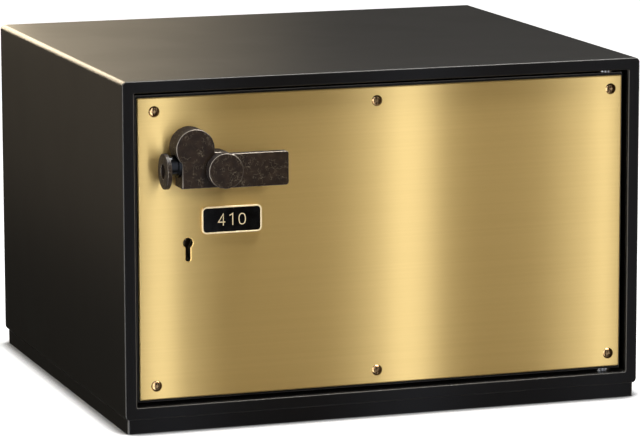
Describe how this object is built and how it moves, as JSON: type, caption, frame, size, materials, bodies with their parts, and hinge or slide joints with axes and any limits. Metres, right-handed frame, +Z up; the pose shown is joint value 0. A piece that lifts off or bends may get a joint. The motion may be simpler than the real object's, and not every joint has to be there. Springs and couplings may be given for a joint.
{
  "type": "home safe",
  "caption": "Home safe: black folded steel body on a low plinth, recessed brass-faced door with cast latch, bar handle, push button, keyhole and bolt work.",
  "frame": {"origin": "middle of the underside of the plinth, on the floor", "axes": "+X to the right seen from the front, +Y from the door to the back, +Z up"},
  "size_m": [0.45, 0.4247, 0.29],
  "materials": {
    "black_paint": "satin black powder coat",
    "brushed_brass": "fine vertical brushing, lacquered",
    "bronze": "polished bronze",
    "dark_casting": "dark brown mottled casting with lighter edges",
    "gloss_black": "gloss black enamel",
    "bright_steel": "turned bright steel",
    "plated_steel": "zinc plated sheet",
    "lock_brass": "machined brass"
  },
  "bodies": {
    "body": {"body_shell": "black_paint", "back_panel": "black_paint", "plinth": "black_paint", "anchor_sleeves": "black_paint", "door_frame": "black_paint", "door_stops": "black_paint", "hinge_bushes": "lock_brass"},
    "door": {"door_slab": "black_paint", "brass_plate": "brushed_brass", "plate_screws": "bronze", "number_plate": "gloss_black", "number_rim": "brushed_brass", "latch_casting": "dark_casting", "casting_screws": "plated_steel", "button_collar": "gloss_black", "button_spring": "plated_steel", "button_stop_screw": "plated_steel", "hinge_pins": "bright_steel", "hinge_washers": "bright_steel", "hinge_blocks": "black_paint", "dead_bar": "black_paint", "thrust_washer": "plated_steel", "bolt_guide": "plated_steel", "guide_studs": "bright_steel", "key_lock_case": "plated_steel", "key_lock_lid": "plated_steel", "key_lock_screws": "plated_steel", "lever_post": "bright_steel", "lock_levers": "lock_brass", "inner_cover": "black_paint", "cover_posts": "plated_steel", "cover_screws": "plated_steel"},
    "handle": {"handle_lever": "dark_casting", "lever_pin": "bright_steel", "spindle": "bright_steel", "spindle_clip": "plated_steel", "crank": "plated_steel", "crank_pin": "bright_steel"},
    "push_button": {"thumb_flange": "dark_casting", "button_barrel": "gloss_black"},
    "boltwork": {"bolt_carriage": "plated_steel", "live_bolts": "bright_steel", "bolt_pins": "bright_steel"},
    "key_bolt": {"key_bolt": "bright_steel", "key_bolt_stump": "bright_steel"}
  },
  "joints": [
    {"name": "door_swing", "type": "hinge", "parent": "body", "child": "door", "pos_m": [0.2, -0.185, 0.151], "axis": [0, 0, 1], "range_deg": [0, 105]},
    {"name": "handle_turn", "type": "hinge", "parent": "door", "child": "handle", "pos_m": [-0.1455, -0.2155, 0.2172], "axis": [0, 1, 0], "range_deg": [0, 90]},
    {"name": "bolt_slide", "type": "slide", "parent": "door", "child": "boltwork", "axis": [-1, 0, 0], "range_m": [0, 0.012]},
    {"name": "button_press", "type": "slide", "parent": "door", "child": "push_button", "axis": [1, 0, 0], "range_m": [0, 0.005], "stiffness_N_per_m": 300, "springref_m": -0.008, "deforming": ["button_spring"]},
    {"name": "key_bolt_slide", "type": "slide", "parent": "door", "child": "key_bolt", "axis": [0, 0, 1], "range_m": [0, 0.008]}
  ],
  "couplings": [
    {"joint": "bolt_slide", "follows": "handle_turn", "m_per_rad": 0.007639}
  ]
}
